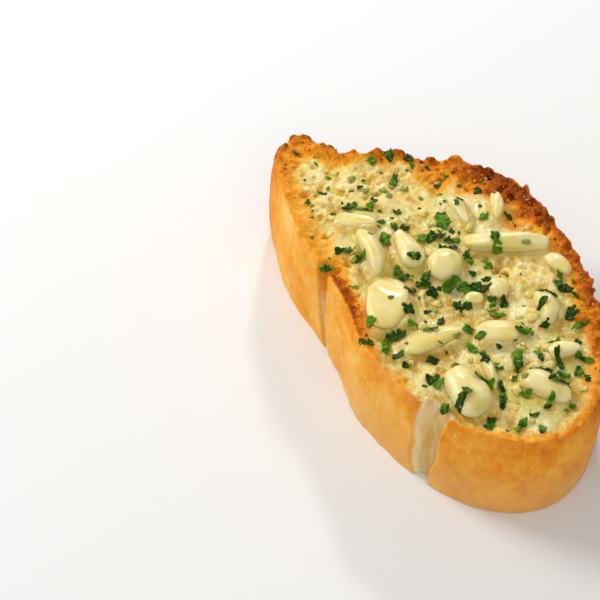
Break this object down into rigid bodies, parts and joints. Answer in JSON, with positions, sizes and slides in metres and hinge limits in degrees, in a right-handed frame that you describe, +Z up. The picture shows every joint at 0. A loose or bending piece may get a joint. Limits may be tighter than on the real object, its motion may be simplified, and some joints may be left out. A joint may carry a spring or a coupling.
{
  "type": "garlic bread slice",
  "caption": "Thick toasted slice of white loaf lying flat, its upper cut face spread with garlic butter, chunks of garlic and chopped parsley.",
  "frame": {"origin": "centre of the bounding box at the lower cut face, on which the slice lies", "axes": "+X along the cut from the loaf's square corner to its round end, +Y towards the browned domed side, +Z up out of the topped face"},
  "size_m": [0.1178, 0.0626, 0.0288],
  "materials": {
    "bread": "golden toasted crust and pale buttered crumb with chopped parsley",
    "garlic": "translucent ivory garlic, glossy with butter"
  },
  "bodies": {
    "root": {"bread": "bread", "garlic_crescent": "garlic", "garlic_wedge": "garlic", "garlic_dome": "garlic", "garlic_slab": "garlic", "garlic_pillow": "garlic", "garlic_chunk": "garlic", "garlic_sliver": "garlic", "garlic_flat": "garlic", "garlic_strip": "garlic", "garlic_petal": "garlic", "garlic_nub": "garlic", "garlic_shaving": "garlic", "garlic_curl": "garlic", "garlic_crumb": "garlic", "garlic_heel": "garlic", "garlic_half": "garlic", "garlic_end": "garlic", "garlic_edge": "garlic"}
  },
  "joints": []
}
